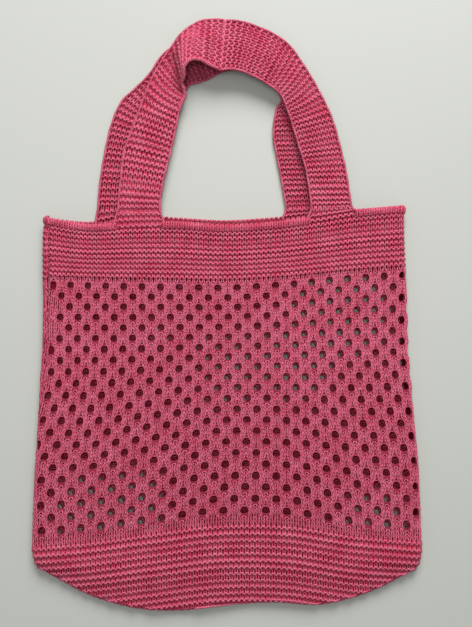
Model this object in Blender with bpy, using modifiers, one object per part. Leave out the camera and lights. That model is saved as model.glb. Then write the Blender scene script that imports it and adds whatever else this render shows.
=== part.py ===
# Knitted mesh tote bag, lying flat with both straps laid out above its mouth.
# Two knitted panels are sewn at the sides and along the round bottom. Each strap
# is knitted on to its panel in two halves that meet at a seam at the apex.
# X runs across the bag, Y from the bottom towards the straps, Z up from the surface.
import math
from collections import namedtuple

import bmesh
import bpy
from mathutils import Vector

MM = 0.001

# Cloth, in millimetres
PANEL_THICKNESS = 3.0
STRAP_THICKNESS = 4.0
LAYER_SPACE = 6.6       # clear space between the panels
SEAM_SPACE = 0.8        # the same space where they are sewn at the bottom
SWELL = 0.9             # soft rise and fall of the front panel
SWELL_WAVES_ACROSS = 1.15
SWELL_WAVES_DOWN = 0.4  # waves for each level, see the levels below
SWELL_PHASE_ACROSS = 0.08
SWELL_PHASE_DOWN = 0.15
SEAM_INSET = 9.5        # side seam, measured in from the outside of its fold
BUTT_GAP = 0.45         # between two edges that are sewn or knitted together

# Knitting, in millimetres: a panel as it is laid out before it is folded
FLAT_WIDTH = 366.0      # from the near seam to the start of the far fold
TOP_BAND = 62.0
NET_HEIGHT = 246.0
BOTTOM_BAND = 78.0
FOLD_ARC = 15.0
FOLD_END = 3.0
EYELET_HALF_HEIGHT = 6.4

# Steps of the mesh
NET_COLUMNS = 22        # eyelet columns are one fewer
NET_ROWS = 7
TOP_BAND_ROWS = 4
BOTTOM_BAND_ROWS = 5
FOLD_STEPS = 6
STRAP_COLUMNS = 5
STRAP_ROWS_PER_SECTION = 2

# Levels down a panel: rim, start of the net, end of the net, bottom edge
RIM, NET_START, NET_END, BOTTOM = 0, 1, 2, 3
TAPER_START = 2.45      # level below which the two layers close on the bottom seam

PINK = (0.434, 0.078, 0.122, 1.0)

# Outer sides of the bag at some heights
SideStation = namedtuple("SideStation", "y left right")
SIDES = (
    SideStation(y=110, left=-183.5, right=177.5),
    SideStation(y=74, left=-185.0, right=178.0),
    SideStation(y=18, left=-185.0, right=181.0),
    SideStation(y=-36, left=-185.8, right=182.6),
    SideStation(y=-66, left=-187.8, right=185.2),
    SideStation(y=-122, left=-191.0, right=190.0),
    SideStation(y=-150, left=-193.0, right=192.4),
    SideStation(y=-206, left=-195.5, right=195.0),
    SideStation(y=-234, left=-196.0, right=196.0),
    SideStation(y=-248, left=-195.2, right=195.0),
    SideStation(y=-260, left=-191.0, right=191.0),
)

# Height of a knitted row at nine even stations from the left side to the right one
RowLine = namedtuple("RowLine", "a b c d e f g h i")
FRONT_ROWS = (
    RowLine(a=95, b=86, c=91, d=91.5, e=88.5, f=91, g=96.5, h=102, i=103),
    RowLine(a=35, b=33.5, c=32.5, d=31, e=30, f=32, g=36, h=40, i=43.5),
    RowLine(a=-223, b=-219.5, c=-215, d=-207, e=-202, f=-204, g=-209, h=-214, i=-217),
    RowLine(a=-255, b=-280.5, c=-294.5, d=-297, e=-291.5, f=-289, g=-291, h=-279, i=-256),
)
BACK_ROWS = (
    RowLine(a=96, b=92, c=99, d=96, e=93.5, f=96, g=101, h=105, i=108),
    RowLine(a=38, b=38, c=37, d=36, e=35, f=37, g=41, h=45, i=48),
    RowLine(a=-217, b=-214, c=-209, d=-202, e=-197, f=-199, g=-204, h=-208, i=-211),
    RowLine(a=-255, b=-280.5, c=-294.5, d=-297, e=-291.5, f=-289, g=-291, h=-279, i=-256),
)

# Cross sections of the strap halves, from the rim up to the apex seam.
# The crown lifts the middle of a section above the line between its edges.
Section = namedtuple("Section", "outer_x outer_y outer_z inner_x inner_y inner_z crown")
FRONT_LEFT = (
    Section(-108.5, 105, 11, -66.5, 105, 11, 0),
    Section(-106, 133, 10, -63.5, 130, 10.5, 0.6),
    Section(-102.5, 162, 8.5, -56.5, 159, 9.5, 1),
    Section(-95.5, 182, 8, -51, 183, 9.5, 1),
    Section(-88, 202, 8, -46.5, 204, 10, 1),
    Section(-78.5, 227.5, 8, -41, 216.5, 10, 1),
    Section(-69, 246, 8, -42.5, 224, 9, 0.5),
    Section(-59, 261, 8, -44.5, 228.5, 8, -0.5),
    Section(-49.5, 274.5, 9, -42, 232, 16, 2),
    Section(-41.5, 282.5, 9, -41.5, 240.5, 20, 2),
    Section(-32.5, 288.5, 9.5, -35.5, 247, 21, 2),
    Section(-22.5, 292, 10, -26, 247.5, 21, 2),
    Section(-11, 292.8, 10, -15, 242.5, 20, 2),
    Section(-1.5, 292, 10, -6, 239.5, 19, 2),
)
FRONT_RIGHT = (
    Section(124, 107, 11, 83.5, 106, 11, 0),
    Section(118.5, 142, 9, 78.5, 143, 10, 0.6),
    Section(112.5, 168, 8, 71, 168, 10, 1),
    Section(105.5, 193, 8, 64, 191, 10.5, 1),
    Section(96.5, 213, 8, 59, 205, 11, 1),
    Section(85.5, 233.5, 8, 54, 216.5, 12, 1),
    Section(74, 251.5, 8.5, 46, 223.5, 13.5, 1.5),
    Section(62, 267.3, 9, 36, 229.5, 15, 2),
    Section(46.5, 278.5, 9.5, 25, 235, 16.5, 2),
    Section(27, 286.8, 10, 14, 239, 18, 2),
    Section(12.5, 291, 10, 5, 240.5, 19, 2),
    Section(-1.5, 292, 10, -6, 239.5, 19, 2),
)
BACK_LEFT = (
    Section(-129.5, 108, 2, -87.5, 108, 2, 0),
    Section(-127.5, 132, 2, -86, 130, 2, 0),
    Section(-121.5, 168, 2, -80, 162, 2, 0),
    Section(-115, 193.5, 2, -76, 180, 2, 0),
    Section(-106, 213, 2, -72, 190, 2, 0),
    Section(-92.5, 226, 2, -64, 196, 2, 0),
    Section(-78.5, 240, 2, -51, 210, 2, 0),
    Section(-70, 253, 2, -43, 222, 2, 0),
    Section(-61, 263.5, 2, -37, 230, 2, 0),
    Section(-46, 271, 2, -27, 232.5, 2, 0),
    Section(-30, 276.5, 2, -17, 236.5, 2, 0),
    Section(-13, 281, 2, -6, 242.5, 2, 0),
)
BACK_RIGHT = (
    Section(99.5, 108, 2, 59, 107, 2, 0),
    Section(94.5, 136, 2, 54, 137, 2, 0),
    Section(90, 157, 2, 49.8, 159, 2, 0),
    Section(87.5, 178, 2, 46.4, 180, 2, 0),
    Section(88.5, 206, 2, 49, 204, 2, 0),
    Section(85, 224, 2, 54.5, 214.5, 2, 0),
    Section(74, 243, 2, 50, 225.5, 2, 0),
    Section(59, 260, 2, 42, 234, 2, 0),
    Section(40, 272, 2, 31, 240.5, 2, 0),
    Section(21, 278.5, 2, 19, 244, 2, 0),
    Section(4, 281.5, 2, 7, 245, 2, 0),
    Section(-13, 281, 2, -6, 242.5, 2, 0),
)

# A strap half: its panel, where its two edges leave the rim, and its sections
StrapHalf = namedtuple("StrapHalf", "name rows on_front outer_x inner_x side sections")
STRAP_HALVES = (
    StrapHalf("front_strap_left", FRONT_ROWS, True, -112.0, -62.5, -1, FRONT_LEFT),
    StrapHalf("front_strap_right", FRONT_ROWS, True, 129.0, 79.5, 1, FRONT_RIGHT),
    StrapHalf("back_strap_left", BACK_ROWS, False, -132.0, -84.0, -1, BACK_LEFT),
    StrapHalf("back_strap_right", BACK_ROWS, False, 103.0, 56.0, 1, BACK_RIGHT),
)


def clear_scene():
    for obj in list(bpy.data.objects):
        bpy.data.objects.remove(obj, do_unlink=True)


def mix(a, b, share):
    return a + (b - a) * share


def smooth_step(value):
    value = min(max(value, 0.0), 1.0)
    return value * value * (3.0 - 2.0 * value)


def through(points, position):
    # Smooth curve through evenly spaced numbers or vectors; position counts in steps
    last = len(points) - 1
    index = min(max(int(math.floor(position)), 0), last - 1)
    t = position - index
    p1 = points[index]
    p2 = points[index + 1]
    p0 = points[index - 1] if index > 0 else p1 * 2.0 - p2
    p3 = points[index + 2] if index + 2 <= last else p2 * 2.0 - p1
    part_a = (p2 - p0) * t
    part_b = (p0 * 2.0 - p1 * 5.0 + p2 * 4.0 - p3) * (t * t)
    part_c = (p1 * 3.0 - p0 - p2 * 3.0 + p3) * (t * t * t)
    return p1 + (part_a + part_b + part_c) * 0.5


def side_edges(y):
    # Outer left and right sides of the bag at a height
    if y >= SIDES[0].y:
        return SIDES[0].left, SIDES[0].right
    for upper, lower in zip(SIDES, SIDES[1:]):
        if y >= lower.y:
            share = (upper.y - y) / (upper.y - lower.y)
            return mix(upper.left, lower.left, share), mix(upper.right, lower.right, share)
    return SIDES[-1].left, SIDES[-1].right


def row_height(rows, level, across):
    # Height of the row at a level, at a share of the way from left to right
    upper = min(int(level), NET_END)
    steps = len(rows[upper]) - 1
    above = through(rows[upper], across * steps)
    below = through(rows[upper + 1], across * steps)
    return mix(above, below, level - upper)


def row_ends(rows, level):
    left = side_edges(row_height(rows, level, 0.0))[0]
    right = side_edges(row_height(rows, level, 1.0))[1]
    return left, right


def layer_distance(level, across):
    # Distance between the middles of the two layers
    closing = smooth_step((level - TAPER_START) / (BOTTOM - TAPER_START))
    wave_across = math.sin(math.tau * (SWELL_WAVES_ACROSS * across + SWELL_PHASE_ACROSS))
    wave_down = math.sin(math.tau * (SWELL_WAVES_DOWN * level + SWELL_PHASE_DOWN))
    full = LAYER_SPACE + PANEL_THICKNESS + SWELL * wave_across * wave_down
    return mix(full, SEAM_SPACE + PANEL_THICKNESS, closing)


def sheet_point(rows, level, x, on_front):
    # A point of the flat part of the front or the back layer
    left, right = row_ends(rows, level)
    across = (x - left) / (right - left)
    z = PANEL_THICKNESS / 2
    if on_front:
        z += layer_distance(level, across)
    return Vector((x, row_height(rows, level, across), z))


def panel_point(rows, level, distance, on_front):
    # A point of a panel: flat sheet, then the fold, then the narrow strip past it.
    # The front panel starts at the left seam, and the back panel at the right one.
    left, right = row_ends(rows, level)
    turn = 1.0 if on_front else -1.0
    near, far = (left, right) if on_front else (right, left)
    radius = layer_distance(level, 1.0 if on_front else 0.0) / 2
    start = near + turn * (SEAM_INSET + BUTT_GAP)
    centre = far - turn * (radius + PANEL_THICKNESS / 2)
    if distance <= FLAT_WIDTH:
        x = mix(start, centre, distance / FLAT_WIDTH)
        return sheet_point(rows, level, x, on_front)
    mid = PANEL_THICKNESS / 2 + radius
    if distance <= FLAT_WIDTH + FOLD_ARC:
        angle = math.pi * (distance - FLAT_WIDTH) / FOLD_ARC
        x = centre + turn * radius * math.sin(angle)
        z = mid + turn * radius * math.cos(angle)
    else:
        share = (distance - FLAT_WIDTH - FOLD_ARC) / FOLD_END
        x = mix(centre, far - turn * SEAM_INSET, share)
        z = mid - turn * radius
    return Vector((x, row_height(rows, level, (x - left) / (right - left)), z))


def panel_columns():
    flat = [FLAT_WIDTH * step / NET_COLUMNS for step in range(NET_COLUMNS + 1)]
    fold = [FLAT_WIDTH + FOLD_ARC * step / FOLD_STEPS for step in range(1, FOLD_STEPS + 1)]
    return flat + fold + [FLAT_WIDTH + FOLD_ARC + FOLD_END]


def panel_row(row, column):
    # Distance down the laid-out panel; eyelet columns are staggered by half a repeat
    if row <= TOP_BAND_ROWS:
        return TOP_BAND * row / TOP_BAND_ROWS
    net_row = row - TOP_BAND_ROWS
    if net_row <= NET_ROWS:
        stagger = 0.25 if column % 2 and column < NET_COLUMNS else 0.75
        return TOP_BAND + NET_HEIGHT * (net_row - stagger) / NET_ROWS
    band_row = net_row - NET_ROWS - 1
    return TOP_BAND + NET_HEIGHT + BOTTOM_BAND * band_row / BOTTOM_BAND_ROWS


def level_of(down):
    if down <= TOP_BAND:
        return down / TOP_BAND
    if down <= TOP_BAND + NET_HEIGHT:
        return NET_START + (down - TOP_BAND) / NET_HEIGHT
    return NET_END + (down - TOP_BAND - NET_HEIGHT) / BOTTOM_BAND


def lay_out_panel():
    # The panel as knitted: a flat grid with an eyelet at each point of the net
    columns = panel_columns()
    column_steps = len(columns) - 1
    row_steps = TOP_BAND_ROWS + NET_ROWS + 1 + BOTTOM_BAND_ROWS
    bm = bmesh.new()
    bmesh.ops.create_grid(bm, x_segments=column_steps, y_segments=row_steps, size=0.5)
    place = {}
    for vert in bm.verts:
        column = round((vert.co.x + 0.5) * column_steps)
        row = round((0.5 - vert.co.y) * row_steps)
        place[vert] = (column, row)
        vert.co = Vector((columns[column], -panel_row(row, column), 0.0))
    first_net_row = TOP_BAND_ROWS
    last_net_row = TOP_BAND_ROWS + NET_ROWS + 1

    def in_net(vert):
        column, row = place[vert]
        return column <= NET_COLUMNS and first_net_row <= row <= last_net_row

    def is_eyelet(vert):
        column, row = place[vert]
        return 0 < column < NET_COLUMNS and first_net_row < row < last_net_row

    eyelets = [vert for vert in bm.verts if is_eyelet(vert)]
    net_faces = [face for face in bm.faces if all(in_net(vert) for vert in face.verts)]
    bmesh.ops.triangulate(bm, faces=net_faces, quad_method="SHORT_EDGE")
    cut = bmesh.ops.bevel(
        bm, geom=eyelets, offset=EYELET_HALF_HEIGHT, offset_type="OFFSET",
        segments=1, profile=0.5, affect="VERTICES", clamp_overlap=False)
    bmesh.ops.delete(bm, geom=cut["faces"], context="FACES")
    return bm


def add_object(name, bm, thickness, material, collection):
    mesh = bpy.data.meshes.new(name)
    bm.to_mesh(mesh)
    bm.free()
    mesh.materials.append(material)
    obj = bpy.data.objects.new(name, mesh)
    collection.objects.link(obj)
    solidify = obj.modifiers.new("Cloth thickness", "SOLIDIFY")
    solidify.thickness = thickness * MM
    solidify.offset = 0.0
    solidify.use_even_offset = True
    return obj


def make_panel(name, rows, on_front, material, collection):
    bm = lay_out_panel()
    for vert in bm.verts:
        point = panel_point(rows, level_of(-vert.co.y), vert.co.x, on_front)
        vert.co = point * MM
    return add_object(name, bm, PANEL_THICKNESS, material, collection)


def section_points(half):
    # Rows of points, one for each section; the first lies along the panel's rim
    rows = []
    rim = []
    for column in range(STRAP_COLUMNS + 1):
        x = mix(half.outer_x, half.inner_x, column / STRAP_COLUMNS)
        rim.append(sheet_point(half.rows, RIM, x, half.on_front) + Vector((0, BUTT_GAP, 0)))
    if not half.on_front:
        for point in rim:
            point.z = STRAP_THICKNESS / 2
    rows.append(rim)
    for section in half.sections:
        outer = Vector((section.outer_x, section.outer_y, section.outer_z))
        inner = Vector((section.inner_x, section.inner_y, section.inner_z))
        row = []
        for column in range(STRAP_COLUMNS + 1):
            share = column / STRAP_COLUMNS
            point = outer.lerp(inner, share)
            point.z += section.crown * math.sin(math.pi * share)
            row.append(point)
        rows.append(row)
    for point in rows[-1]:
        point.x += half.side * BUTT_GAP
    return rows


def make_strap_half(half, material, collection):
    rows = section_points(half)
    steps = (len(rows) - 1) * STRAP_ROWS_PER_SECTION
    bm = bmesh.new()
    bmesh.ops.create_grid(bm, x_segments=STRAP_COLUMNS, y_segments=steps, size=0.5)
    for vert in bm.verts:
        column = round((vert.co.x + 0.5) * STRAP_COLUMNS)
        step = round((vert.co.y + 0.5) * steps)
        line = [row[column] for row in rows]
        vert.co = through(line, step / STRAP_ROWS_PER_SECTION) * MM
    return add_object(half.name, bm, STRAP_THICKNESS, material, collection)


def make_cloth(name):
    material = bpy.data.materials.new(name)
    material.use_nodes = True
    shader = material.node_tree.nodes["Principled BSDF"]
    shader.inputs["Base Color"].default_value = PINK
    shader.inputs["Roughness"].default_value = 0.9
    shader.inputs["Metallic"].default_value = 0.0
    material.diffuse_color = PINK
    return material


def centre_on_origin(objects):
    # The middle of the bag's outline goes over the origin
    bpy.context.view_layer.update()
    graph = bpy.context.evaluated_depsgraph_get()
    corners = []
    for obj in objects:
        shape = obj.evaluated_get(graph).to_mesh()
        corners.extend(vert.co.copy() for vert in shape.vertices)
    middle_x = (min(c.x for c in corners) + max(c.x for c in corners)) / 2
    middle_y = (min(c.y for c in corners) + max(c.y for c in corners)) / 2
    for obj in objects:
        for vert in obj.data.vertices:
            vert.co.x -= middle_x
            vert.co.y -= middle_y


def main():
    clear_scene()
    collection = bpy.data.collections.new("Knitted mesh tote bag")
    bpy.context.scene.collection.children.link(collection)
    objects = [
        make_panel("front_panel", FRONT_ROWS, True, make_cloth("Front panel cotton"), collection),
        make_panel("back_panel", BACK_ROWS, False, make_cloth("Back panel cotton"), collection),
    ]
    for half in STRAP_HALVES:
        cloth = make_cloth(half.name + " cotton")
        objects.append(make_strap_half(half, cloth, collection))
    centre_on_origin(objects)


main()
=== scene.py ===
import math

import bmesh
import bpy
import numpy as np
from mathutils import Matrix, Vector
from mathutils.geometry import delaunay_2d_cdt


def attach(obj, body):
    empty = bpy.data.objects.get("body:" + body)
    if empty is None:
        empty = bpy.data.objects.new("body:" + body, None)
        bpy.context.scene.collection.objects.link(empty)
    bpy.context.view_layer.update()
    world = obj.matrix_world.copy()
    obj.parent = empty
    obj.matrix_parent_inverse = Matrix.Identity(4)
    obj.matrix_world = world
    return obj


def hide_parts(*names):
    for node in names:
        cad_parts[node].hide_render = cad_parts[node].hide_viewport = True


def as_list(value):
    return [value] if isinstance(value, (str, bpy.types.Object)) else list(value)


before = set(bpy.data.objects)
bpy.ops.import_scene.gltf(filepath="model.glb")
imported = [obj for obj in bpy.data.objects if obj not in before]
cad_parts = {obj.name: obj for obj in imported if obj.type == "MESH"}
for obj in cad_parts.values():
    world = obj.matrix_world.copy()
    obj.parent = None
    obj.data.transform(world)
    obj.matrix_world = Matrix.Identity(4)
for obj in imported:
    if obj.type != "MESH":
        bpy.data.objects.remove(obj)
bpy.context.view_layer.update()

# Sizes are in millimetres until a mesh is written. X runs across the bag, Y from its
# bottom towards the straps and Z up from the surface, as in the frame.
mm = 0.001
frameShift = (0.0, 1.97)  # from the bag's own tables to the frame

cloth = {
    "panelThickness": 3.0, "layerSpace": 6.6, "seamSpace": 1.6,
    "swell": 0.9, "swellAcross": (1.15, 0.08), "swellDown": (0.4, 0.15),   # waves, and where they start
    "closeFrom": 2.45, "closeOver": 0.55,      # where the layers draw together, 3 is the bottom edge
    "lift": 0.95,         # the yarn of the back panel lies on the surface
    "foldArc": 15.0, "foldEnd": 3.2, "foldInset": 2.0,
    "foldSquareX": 0.8, "foldSquareZ": 0.65,   # below 1 the folds are pressed flatter
    "seamGap": 0.5, "backSeamGap": 1.3,
}
stitchWidth = 4.84
eyeletRowHeight = 10.5


sideStations = {  # height, outer left side, outer right side
    "y": (-260, -248, -234, -206, -150, -122, -66, -36, 18, 74, 84, 97, 110),
    "left": (-187, -193.6, -196, -195.5, -193, -191, -187.8, -185.8, -185, -185, -184.4, -182, -180.5),
    "right": (188, 194, 196, 195, 192.4, 190, 185.2, 182.6, 181, 178, 178, 177.8, 177),
}
rims = {  # height of the mouth, on the front and on the back
    True: (97, 89, 91, 91.5, 88.5, 91, 96.5, 103.5, 107.5),
    False: (97, 92, 99, 96, 93.5, 96, 101, 105, 108),
}
rimLevel, lowLevel = 60.0, -262.0   # heights at which places on the rim and the bottom edge are counted
netTop = (35, 33.5, 32.5, 31, 30, 32, 36, 40, 43.5)
netBottom = (-223, -219.5, -215, -207, -202, -204, -209, -214, -217)
bottomEdge = (-255, -280.5, -294.5, -297, -291.5, -289, -291, -279, -256)

# The net as it lies: rows of eyelets 0 to 21 at six even steps, stitches -38 to 40 at seven
netStitches = (-38, 40)
netRows = (0, 21)
netX = (
    (-181.2, -124.9, -66.0, -4.2, 57.5, 115.2, 174.7),
    (-184.1, -126.0, -65.6, -3.3, 58.7, 116.2, 173.3),
    (-183.6, -127.5, -67.0, -3.7, 59.3, 117.8, 175.4),
    (-194.1, -133.1, -69.6, -5.0, 59.1, 121.0, 181.7),
    (-204.9, -138.9, -73.3, -6.6, 59.1, 123.8, 187.6),
    (-203.8, -140.2, -75.0, -8.8, 59.5, 125.9, 188.1),
)
netY = (
    (28.7, 27.2, 26.4, 25.5, 28.7, 34.1, 38.2),
    (-16.4, -16.5, -16.0, -15.3, -12.9, -9.6, -8.4),
    (-62.8, -62.5, -60.2, -56.9, -56.3, -55.7, -53.4),
    (-113.4, -114.5, -107.5, -101.7, -101.9, -104.8, -104.6),
    (-164.8, -161.7, -155.4, -147.7, -148.3, -154.7, -156.9),
    (-217.9, -213.0, -204.6, -196.3, -196.9, -206.1, -210.7),
)

# How far round the left fold the side seam lies, at some heights
leftSeam = ((-135, -112, -85, -40, 40, 95), (7.6, 5.4, 0.4, -1.4, -2.4, -2.9))

# Strap sections from the rim to the apex seam: outer x y z, inner x y z, crown
frontLeftSections = (
    (-108.5, 105, 11, -66.5, 105, 11, 0),
    (-106, 133, 10, -63.5, 130, 10.5, 0.6),
    (-102.5, 162, 8.5, -56.5, 159, 9.5, 1),
    (-95.5, 182, 8, -51, 183, 9.5, 1),
    (-88, 202, 8, -46.5, 204, 10, 1),
    (-78.5, 227.5, 8, -41, 216.5, 10, 1),
    (-69, 246, 8, -42.5, 224, 9, 0.5),
    (-59, 261, 8, -44.5, 228.5, 8, -0.5),
    (-49.5, 274.5, 9, -42, 232, 16, 2),
    (-41.5, 282.5, 9, -41.5, 240.5, 20, 2),
    (-32.5, 288.5, 9.5, -35.5, 247, 21, 2),
    (-22.5, 292, 10, -26, 247.5, 21, 2),
    (-11, 292.8, 10, -15, 242.5, 20, 2),
    (-1.5, 292, 10, -6, 239.5, 19, 2),
)
frontRightSections = (
    (124, 107, 11, 83.5, 106, 11, 0),
    (118.5, 142, 9, 78.5, 143, 10, 0.6),
    (112.5, 168, 8, 71, 168, 10, 1),
    (105.5, 193, 8, 64, 191, 10.5, 1),
    (96.5, 213, 8, 59, 205, 11, 1),
    (85.5, 233.5, 8, 54, 216.5, 12, 1),
    (74, 251.5, 8.5, 46, 223.5, 13.5, 1.5),
    (62, 267.3, 9, 36, 229.5, 15, 2),
    (46.5, 278.5, 9.5, 25, 235, 16.5, 2),
    (27, 286.8, 10, 14, 239, 18, 2),
    (12.5, 291, 10, 5, 240.5, 19, 2),
    (-1.5, 292, 10, -6, 239.5, 19, 2),
)
backLeftSections = [(outX, outY, 2, inX, inY, 2, 0) for outX, outY, inX, inY in (
    (-129.5, 108, -87.5, 108), (-127.5, 132, -86, 130), (-121.5, 168, -80, 162), (-115, 193.5, -76, 180),
    (-106, 213, -72, 190), (-92.5, 226, -64, 196), (-78.5, 240, -51, 210), (-70, 253, -43, 222),
    (-61, 263.5, -37, 230), (-46, 271, -27, 232.5), (-30, 276.5, -17, 236.5), (-13, 281, -6, 242.5),
)]
backRightSections = [(outX, outY, 2, inX, inY, 2, 0) for outX, outY, inX, inY in (
    (99.5, 108, 59, 107), (94.5, 136, 54, 137), (90, 157, 49.8, 159), (87.5, 178, 46.4, 180),
    (88.5, 206, 49, 204), (85, 224, 54.5, 214.5), (74, 243, 50, 225.5), (59, 260, 42, 234),
    (40, 272, 31, 240.5), (21, 278.5, 19, 244), (4, 281.5, 7, 245), (-13, 281, -6, 242.5),
)]


def through(values, position):
    # Smooth curve through evenly spaced values, straight beyond both ends
    values = np.asarray(values, float)
    last = len(values) - 1
    inside = np.clip(position, 0, last)
    index = np.clip(np.floor(inside).astype(int), 0, last - 1)
    t = inside - index
    padded = np.concatenate([[2 * values[0] - values[1]], values, [2 * values[-1] - values[-2]]])
    p0, p1, p2, p3 = (padded[index + step] if padded.ndim == 1
                      else np.take_along_axis(padded, (index + step)[None], 0)[0] for step in range(4))
    curve = p1 + 0.5 * ((p2 - p0) * t + (2 * p0 - 5 * p1 + 4 * p2 - p3) * t ** 2
                        + (3 * p1 - p0 - 3 * p2 + p3) * t ** 3)
    beyond = position - inside
    return curve + np.where(beyond > 0, values[-1] - values[-2], values[1] - values[0]) * beyond


def netPlace(stitch, row):
    # Where a stitch of the front net lies, rows counted in rows of eyelets
    column = (stitch - netStitches[0]) / (netStitches[1] - netStitches[0]) * (len(netX[0]) - 1)
    step = (row - netRows[0]) / (netRows[1] - netRows[0]) * (len(netX) - 1)
    return tuple(through(np.array([through(line, column) for line in table]), step) for table in (netX, netY))


def outerSides(y):
    return tuple(np.interp(y, sideStations["y"], sideStations[side]) for side in ("left", "right"))


def shareAcross(x, y):
    left, right = outerSides(y)
    return np.clip((x - left) / (right - left), 0, 1)


def lineHeight(line, across):
    return through(line, across * (len(line) - 1))


def smoothStep(value):
    value = np.clip(value, 0, 1)
    return value * value * (3 - 2 * value)


def wave(share, waves):
    return np.sin(math.tau * (waves[0] * share + waves[1]))


def layerRise(x, y, onFront):
    # Distance between the middles of the two layers of the bag
    across = shareAcross(x, y)
    rim, top, bottom, edge = (lineHeight(line, across)
                              for line in (rims[onFront], netTop, netBottom, bottomEdge))
    level = np.where(y > top, (rim - y) / (rim - top),
                     np.where(y > bottom, 1 + (top - y) / (top - bottom), 2 + (bottom - y) / (bottom - edge)))
    closing = smoothStep((level - cloth["closeFrom"]) / cloth["closeOver"])
    swell = cloth["swell"] * wave(across, cloth["swellAcross"]) * wave(level, cloth["swellDown"])
    full = cloth["layerSpace"] + cloth["panelThickness"] - cloth["lift"] + swell
    return full + (cloth["seamSpace"] + cloth["panelThickness"] - full) * closing


def layPanel(x, y, onFront):
    # Lays a flat panel on the front or the back and round both side folds.
    # Returns the place of each point and how far it is past the left and the right fold line.
    backZ = cloth["panelThickness"] / 2 + cloth["lift"]
    newX, newZ, past = x, backZ + (layerRise(x, y, onFront) if onFront else 0.0), {}
    for edge, side in zip(outerSides(y)[::-1], (1.0, -1.0)):
        radius = layerRise(edge, y, onFront) / 2
        centre = edge - side * (radius + cloth["foldInset"])
        past[side] = side * (x - centre)
        angle = np.clip(past[side] / cloth["foldArc"], 0, 1) * math.pi
        over = np.cos(angle)
        sideX = centre + side * (radius * np.sin(angle) ** cloth["foldSquareX"]
                                 - np.maximum(past[side] - cloth["foldArc"], 0))
        turned = (radius if onFront else -radius) * np.sign(over) * np.abs(over) ** cloth["foldSquareZ"]
        newX = np.where(past[side] > 0, sideX, newX)
        newZ = np.where(past[side] > 0, backZ + radius + turned, newZ)
    return np.stack([newX, y, newZ], -1), past[-1.0], past[1.0]


class Value:
    # One socket of a node tree; arithmetic on it adds Math nodes
    def __init__(self, graph, socket):
        self.graph = graph
        self.socket = socket

    def math(self, operation, *others):
        return self.graph.math(operation, self, *others)

    def __add__(self, other): return self.math("ADD", other)
    def __sub__(self, other): return self.math("SUBTRACT", other)
    def __rsub__(self, other): return self.graph.math("SUBTRACT", other, self)
    def __mul__(self, other): return self.math("MULTIPLY", other)
    def __truediv__(self, other): return self.math("DIVIDE", other)
    def __rtruediv__(self, other): return self.graph.math("DIVIDE", other, self)
    def __neg__(self): return self.math("MULTIPLY", -1.0)
    __radd__ = __add__
    __rmul__ = __mul__


class Graph:
    def __init__(self, tree):
        self.tree = tree

    def node(self, kind, settings=None, inputs=None, output=0):
        made = self.tree.nodes.new(kind)
        for name, value in (settings or {}).items():
            setattr(made, name, value)
        for key, value in (inputs or {}).items():
            socket = made.inputs[key]
            if isinstance(value, Value):
                self.tree.links.new(value.socket, socket)
            else:
                socket.default_value = value
        self.last = made
        return self.out(output) if len(made.outputs) else None

    def out(self, output):
        return Value(self, self.last.outputs[output])

    def math(self, operation, *values):
        return self.node("ShaderNodeMath", {"operation": operation}, dict(enumerate(values)))

    def vector(self, operation, *values, output=0):
        return self.node("ShaderNodeVectorMath", {"operation": operation}, dict(enumerate(values)), output)

    def scaled(self, vector, factor):
        return self.node("ShaderNodeVectorMath", {"operation": "SCALE"}, {0: vector, "Scale": factor})

    def combine(self, x=0.0, y=0.0, z=0.0):
        return self.node("ShaderNodeCombineXYZ", inputs={0: x, 1: y, 2: z})

    def noise(self, place, scale, detail):
        return self.node("ShaderNodeTexNoise", inputs={"Vector": place, "Scale": scale, "Detail": detail})

    def mix(self, share, low, high):
        return self.node("ShaderNodeMix", {"data_type": "RGBA"}, {0: share, 6: low, 7: high}, output=2)

    def surface(self, inputs):
        shader = self.node("ShaderNodeBsdfPrincipled", inputs=inputs)
        self.node("ShaderNodeOutputMaterial", inputs={"Surface": shader})

    def points(self, count, place):
        made = self.node("GeometryNodePoints", inputs={"Count": count})
        return self.node("GeometryNodeSetPosition", inputs={"Geometry": made, "Position": place})

    def named(self, name, kind="FLOAT"):
        return self.node("GeometryNodeInputNamedAttribute", {"data_type": kind}, {"Name": name})

    def store(self, geometry, name, value, kind="FLOAT"):
        return self.node("GeometryNodeStoreNamedAttribute", {"data_type": kind, "domain": "POINT"},
                         {"Geometry": geometry, "Name": name, "Value": value})


def newObject(name, data):
    thing = bpy.data.objects.new(name, data)
    bpy.context.scene.collection.objects.link(thing)
    return thing


def newMesh(name, points, edges, faces):
    # Points in the millimetres of the bag's own tables
    mesh = bpy.data.meshes.new(name)
    mesh.from_pydata(((points + np.array([*frameShift, 0.0])) * mm).tolist(), edges, faces)
    return mesh


def meshFromGrid(name, points):
    rows, columns = points.shape[:2]
    index = np.arange(rows * columns).reshape(rows, columns)
    quads = np.stack([index[:-1, :-1], index[:-1, 1:], index[1:, 1:], index[1:, :-1]], -1).reshape(-1, 4)
    return newMesh(name, points.reshape(-1, 3), [], quads.tolist())


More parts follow.
